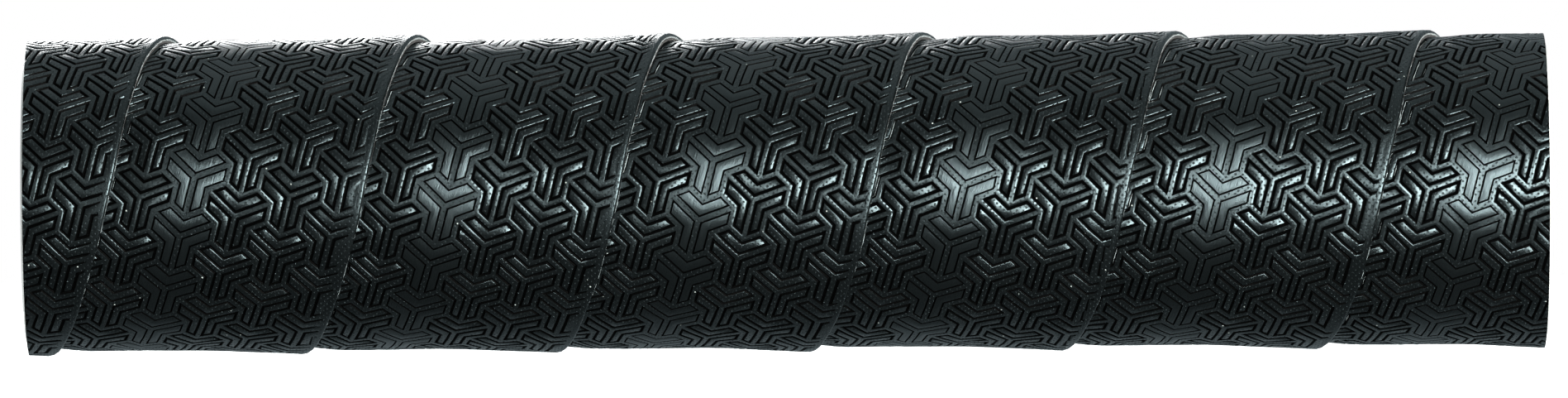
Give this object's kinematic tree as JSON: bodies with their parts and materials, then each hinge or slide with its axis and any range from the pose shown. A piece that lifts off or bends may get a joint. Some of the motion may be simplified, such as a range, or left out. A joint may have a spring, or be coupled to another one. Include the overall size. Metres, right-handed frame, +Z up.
{
  "type": "grip tape roll",
  "caption": "Straight round core tube wound edge over edge with one helical strip of embossed black grip tape, cut square at both ends.",
  "frame": {"origin": "centre of the core tube's bore, at mid-length", "axes": "+X along the core's axis, towards the end where the tape was started; +Z up; -Y is the front"},
  "size_m": [0.1376, 0.0292, 0.0292],
  "materials": {
    "core": "pale grey rigid plastic tube, satin",
    "adhesive": "translucent amber acrylic adhesive film",
    "foam": "dark closed-cell foam",
    "felt": "pale non-woven felt",
    "skin": "black embossed polyurethane, satin, with fine pinholes"
  },
  "bodies": {
    "root": {"core_tube": "core", "adhesive_strip": "adhesive", "foam_cushion": "foam", "felt_backing": "felt", "embossed_skin": "skin"}
  },
  "joints": []
}
